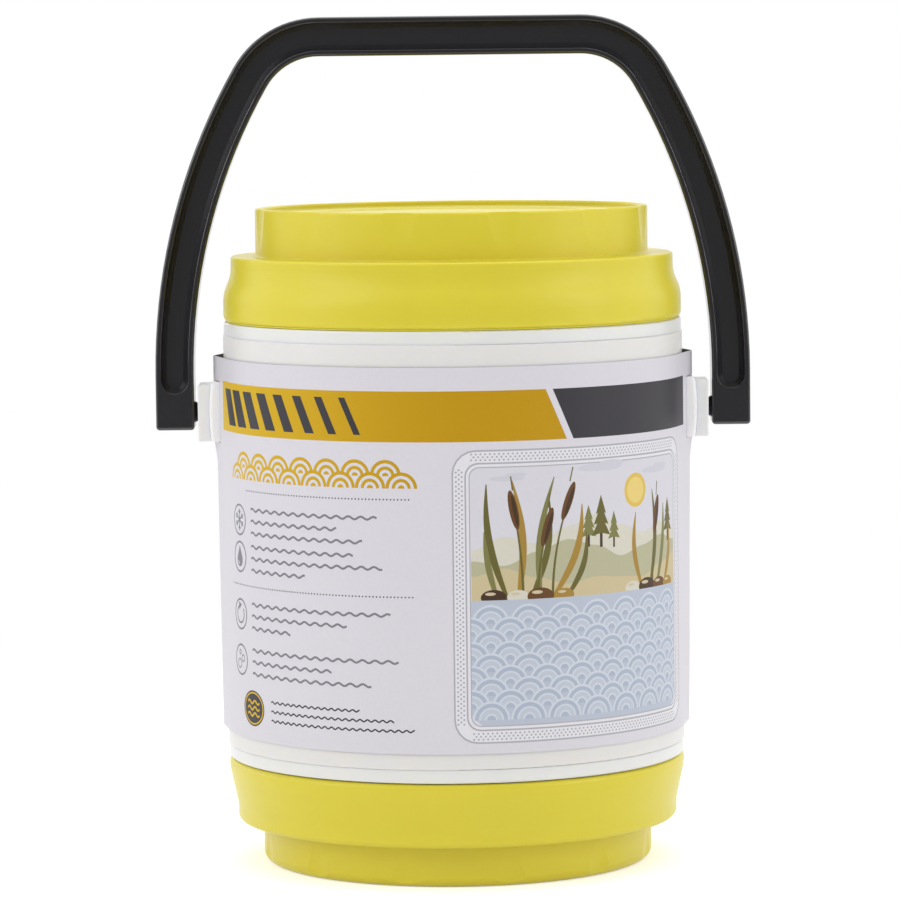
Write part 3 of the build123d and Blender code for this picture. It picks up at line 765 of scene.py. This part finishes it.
def shore():
    """Hills, pines, reeds and stones behind the water."""
    start, end = PANEL[0] + BORDER + SHORE_INSET, PANEL[2] - BORDER - SHORE_INSET
    shapes = [(ink, disc(*SUN, radius, count=36)) for ink, radius in SUN_DISCS]
    for s, z, half in CLOUDS:
        shapes.append(("mist", disc(s, z, half, tall=0.14, count=24)))
        shapes.append(("mist", disc(s + half * 0.5, z + 1.3, half * 0.6, tall=0.2, count=20)))
    for heights, ink in HILLS:
        shapes.append(hill(start, end, SHORE, heights, ink))
    for tree in PINES:
        shapes += pine(*tree)
    shapes.append(hill(start, end, SHORE, *BANK))
    for s, height, lean, bow, width, ink in LEAVES:
        shapes.append(leaf(s, SHORE, height, lean, bow, width, ink))
    for s, height, lean in CATTAILS:
        shapes += cattail(s, SHORE, height, lean)
    for s, radius, ink in STONES:
        z = SHORE + STONE_RISE
        shapes.append((ink, disc(s, z, radius, tall=0.6, count=20)))
        spot = (s - radius * 0.25, z + radius * 0.28)
        shapes.append(("sheen", disc(*spot, radius * 0.42, tall=0.3, count=12)))
    return shapes


SCALE_ROWS = 9
SCALE_COLUMNS = 7
SCALE_TOP = 1.5             # from the water's edge to the first row's crests
SCALE_PITCH = 0.62          # from row to row, as a share of the radius
SCALE_CLIP = 0.02           # that a ring keeps from the water's sides
SCALE_RINGS = (
    (0.98, "frost"), (0.86, "water_deep"), (0.66, "frost"), (0.56, "water_pale"), (0.34, "frost"),
    (0.24, "water_deep"))


def water():
    """Pale water under the shore, in rows of overlapping rings."""
    start, end = PANEL[0] + BORDER + WATER_INSET, PANEL[2] - BORDER - WATER_INSET
    low, corner = PANEL[1] + BORDER + WATER_INSET, PANEL_ROUND - BORDER * ROUND_SHARE
    pitch = (end - start) / SCALE_COLUMNS
    radius = pitch / 2
    shapes = [("water", [
        (start + corner, low), (end - corner, low), (end, low + corner), (end, SHORE), (start, SHORE),
        (start, low + corner)])]
    for row in range(SCALE_ROWS):
        z = SHORE - SCALE_TOP - radius - row * radius * SCALE_PITCH
        shift = row % 2 * 0.5
        for column in range(SCALE_COLUMNS + (1 if shift else 0)):
            s = start + pitch * (column + 0.5 - shift)
            for share, ink in SCALE_RINGS:
                outline = arc_path(s, z, radius * share, 0, 180, 14)
                inside = [(min(max(a, start + SCALE_CLIP), end - SCALE_CLIP), b) for a, b in outline]
                shapes.append((ink, inside))
    return shapes


def drawing():
    shapes = band_shapes(0) + band_shapes(180) + band_shapes(-180) + arch_frieze()
    for rule in RULES:
        shapes += dotted(*rule)
    for start, end, z in FINE_RIPPLES:
        shapes.append(("charcoal", stroke(ripple(start, end, z, *FINE_RIPPLE_WAVE), FINE_RIPPLE_LINE)))
    shapes += sign_rows() + roundel()
    return shapes + panel_frame() + shore() + water()


# -- inks: colour at a distance along the card --

def plain(*levels):
    colour = srgb(*levels)
    return lambda s: colour


def fading(first, last, start, end):
    """A colour that drifts from one to another along each half of the card, front and back: lighter 80 degrees
    before a half's middle, darker from the middle on.
    """
    def ink(s):
        place = (s + along(90)) % along(180) - along(90)
        share = min(1.0, max(0.0, (place - start) / (end - start)))
        return srgb(*(a + share * (b - a) for a, b in zip(first, last)))
    return ink


INKS = {
    "card": plain(218, 215, 222),
    "bright": plain(228, 226, 231),
    "back": plain(118, 117, 108),
    # the card's cut edges: the grey of the board's core, darker than its face, and painted shade for the
    # shadow line along the card's lower edge
    "edge": plain(192, 190, 190),
    "gold": fading((220, 182, 16), (192, 147, 0), along(-80), along(0)),
    "charcoal": plain(56, 54, 59),
    "grey": plain(128, 126, 133),
    "rule": plain(170, 170, 178),
    "haze": plain(216, 214, 221),
    "mist": plain(206, 205, 214),
    "sun": plain(222, 190, 92),
    "glow": plain(232, 206, 124),
    "sand": plain(214, 210, 196),
    "moss_pale": plain(184, 181, 150),
    "ochre_pale": plain(204, 189, 150),
    "olive": plain(104, 98, 48),
    "moss": plain(126, 124, 74),
    "ochre": plain(166, 132, 58),
    "brown": plain(104, 70, 38),
    "umber": plain(72, 52, 34),
    "sheen": plain(206, 192, 160),
    "water": plain(187, 194, 208),
    "water_deep": plain(174, 184, 201),
    "water_pale": plain(193, 200, 212),
    "frost": plain(207, 213, 223),
}


def window_shapes():
    edge = window_edge()
    low, high = PAD_MIDDLE - WINDOW_HALF_HEIGHT, PAD_MIDDLE + WINDOW_HALF_HEIGHT
    return [("window", box_shape(along(turn + edge), low, along(turn + 180 - edge), high))
            for turn in (0, -180)]


CARD_ENDS = (along(LAP_START), along(LAP_START + 360 + UNDERLAP))
CUT_PRECISION = 1e-5


def cut_card(shapes):
    """Triangles of the flat card with the ink on each: points, faces, inks."""
    start, end = CARD_ENDS
    points, edges, faces = [], [], []
    for ink, outline in shapes:
        faces.append(list(range(len(points), len(points) + len(outline))))
        points += [Vector(point) for point in outline]
    lines = [((s, SLEEVE_BOTTOM), (s, SLEEVE_TOP)) for s in spread(start, end, along(CARD_STEP))]
    lines += [((start, z), (end, z)) for z in spread(SLEEVE_BOTTOM, SLEEVE_TOP, CARD_ROW)]
    lines += [((along(turn), SLEEVE_BOTTOM), (along(turn), SLEEVE_TOP)) for turn in (-90, 90)]
    for line in lines:
        edges.append((len(points), len(points) + 1))
        points += [Vector(point) for point in line]
    spots, _, cut, _, _, owners = delaunay_2d_cdt(points, edges, faces, 1, CUT_PRECISION, True)
    kept, inks = [], []
    for face, owner in zip(cut, owners):
        ink = shapes[max(owner)][0] if 0 in owner else "window"     # the first shape is the whole card
        if ink != "window":
            kept.append(face)
            inks.append(ink)
    used = sorted({index for face in kept for index in face})
    place = {index: i for i, index in enumerate(used)}
    return [spots[index] for index in used], [[place[index] for index in face] for face in kept], inks


def rim_edges(faces):
    """Edges that only one face has, in that face's direction."""
    seen = {}
    for face in faces:
        for a, b in zip(face, [*face[1:], face[0]]):
            if (b, a) in seen:
                del seen[b, a]
            else:
                seen[a, b] = True
    return list(seen)


def card_mesh(spots, cut, inks):
    """The cut card bent round the barrel and given its thickness, with the inks on its outer face."""
    count = len(spots)
    points = [card_point(s, z) for s, z in spots] + [card_point(s, z, SLEEVE_CARD) for s, z in spots]
    normals = [card_normal(s, z) for s, z in spots]
    rim = [(b, a, a + count, b + count) for a, b in rim_edges(cut)]
    faces = cut + [[index + count for index in reversed(face)] for face in cut] + rim
    mesh = bpy.data.meshes.new("printed_sleeve")
    mesh.from_pydata(points, [], faces)
    tints = [tuple(INKS[ink](spots[index][0])) for face, ink in zip(cut, inks) for index in face]
    tints += [INKS["back"](0)] * sum(len(face) for face in cut) + [INKS["edge"](0)] * 4 * len(rim)
    layer = mesh.color_attributes.new("ink", "FLOAT_COLOR", "CORNER")
    layer.data.foreach_set("color", [value for tint in tints for value in tint])
    mesh.polygons.foreach_set("use_smooth", [True] * (2 * len(cut)) + [False] * len(rim))
    shading = [normals[index] for face in cut for index in face]
    shading += [-normals[index] for face in cut for index in reversed(face)]
    for face in rim:
        a, b, c = (points[index] for index in face[:3])
        shading += [(b - a).cross(c - b).normalized()] * 4
    mesh.normals_split_custom_set(shading)
    return mesh


def wrap_card():
    start, end = CARD_ENDS
    shapes = [("card", box_shape(start, SLEEVE_BOTTOM, end, SLEEVE_TOP))] + drawing() + window_shapes()
    mesh = card_mesh(*cut_card(shapes))
    mesh.materials.append(printed_card())
    card = link_new("printed_sleeve", mesh)
    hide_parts("card_sleeve")
    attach(card, "can")


wrap_card()


# ---- screw threads on the necks and inside the lids, and the bead under the top lid ----

def loop_of(shape, profile, angle, lift=0.0):
    """A ring's cross-section at an angle round the axis: vertices at the profile's radii and heights."""
    return [shape.verts.new(Vector((radius * math.cos(angle), radius * math.sin(angle), lift + height)) * MM)
            for radius, height in profile]


def join_loops(shape, one, two):
    return [shape.faces.new((one[i], one[i - 1], two[i - 1], two[i])) for i in range(len(one))]


def add_piece(name, shape, slot, body):
    """A finished piece in a slot's material, on a body."""
    bmesh.ops.recalc_face_normals(shape, faces=shape.faces)
    mesh = bpy.data.meshes.new(name)
    shape.to_mesh(mesh)
    shape.free()
    mesh.materials.append(MATERIALS[slot])
    piece = link_new(name, mesh)
    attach(piece, body)


THREAD_STARTS = 2
THREAD_LEAD = 8.0           # rise in a turn, right-handed
THREAD_SWEEP = 200          # degrees that each start goes round
THREAD_STEP = 5
THREAD_RUN_OUT = 15         # degrees over which an end sinks away
THREAD_LEAST = 0.05         # share of its height that the very end keeps
THREAD_EDGE = 2.7           # from the lid's edge to the nearest middle of a ridge
THREAD_ROOT = 1.2           # half widths
THREAD_CREST = 0.6
NECK_THREAD = (83.3, 86.2)  # radii of a ridge's root, sunk into the wall, and of its crest
LID_THREAD = (88.1, 85.4)
LID_TURN = 90               # degrees by which a lid's ridges start after the neck's


def add_thread(name, low, radii, first_turn, slot, body):
    """The ridges of a thread whose lowest middle is at a height."""
    root, crest = radii
    shape = bmesh.new()
    for start in range(THREAD_STARTS):
        loops = []
        for turn in range(0, THREAD_SWEEP + 1, THREAD_STEP):
            share = min(1.0, turn / THREAD_RUN_OUT, (THREAD_SWEEP - turn) / THREAD_RUN_OUT)
            top = root + (crest - root) * max(share, THREAD_LEAST)
            profile = ((root, -THREAD_ROOT), (top, -THREAD_CREST), (top, THREAD_CREST), (root, THREAD_ROOT))
            angle = math.radians(first_turn + start * 360 / THREAD_STARTS + turn)
            loops.append(loop_of(shape, profile, angle, low + THREAD_LEAD * turn / 360))
        for one, two in zip(loops, loops[1:]):
            join_loops(shape, one, two)
        shape.faces.new(loops[0])
        shape.faces.new(loops[-1][::-1])
    add_piece(name, shape, slot, body)


BEAD_RADII = (88.2, 89.4)   # of the bead under the skirt's foot, which closes the lid's gap
BEAD_DROP = 0.32            # below the skirt's edge
BEAD_ROOT = 0.3             # and up into it
BEAD_SIDES = 8
BEAD_SEGMENTS = 240


def add_foot_bead(name, edge, body):
    """A fine bead that the lid's skirt stands on."""
    inner, outer = BEAD_RADII
    middle, half = (inner + outer) / 2, (outer - inner) / 2
    profile = [(inner, edge + BEAD_ROOT)]
    for i in range(BEAD_SIDES + 1):
        turn = math.pi * i / BEAD_SIDES
        profile.append((middle - half * math.cos(turn), edge - BEAD_DROP * math.sin(turn)))
    profile.append((outer, edge + BEAD_ROOT))
    shape = bmesh.new()
    loops = [loop_of(shape, profile, 2 * math.pi * i / BEAD_SEGMENTS) for i in range(BEAD_SEGMENTS)]
    for one, two in zip(loops, loops[1:] + loops[:1]):
        for face in join_loops(shape, one, two):
            face.smooth = True
    add_piece(name, shape, "yellow_lid", body)


TOP_LID_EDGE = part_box("top_lid_cap")[0][2] / MM
BOTTOM_LID_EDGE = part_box("bottom_lid_cap")[1][2] / MM
BOTTOM_THREAD_LOW = BOTTOM_LID_EDGE - THREAD_EDGE - THREAD_LEAD * THREAD_SWEEP / 360
add_foot_bead("top_lid_foot_bead", TOP_LID_EDGE, "top_lid")
add_thread("bait_neck_thread", TOP_LID_EDGE + THREAD_EDGE, NECK_THREAD, 0, "white_liner", "can")
add_thread("top_lid_thread", TOP_LID_EDGE + THREAD_EDGE, LID_THREAD, LID_TURN, "yellow_lid", "top_lid")
add_thread("ice_neck_thread", BOTTOM_THREAD_LOW, NECK_THREAD, 0, "white_liner", "can")
add_thread("bottom_lid_thread", BOTTOM_THREAD_LOW, LID_THREAD, LID_TURN, "yellow_lid", "bottom_lid")
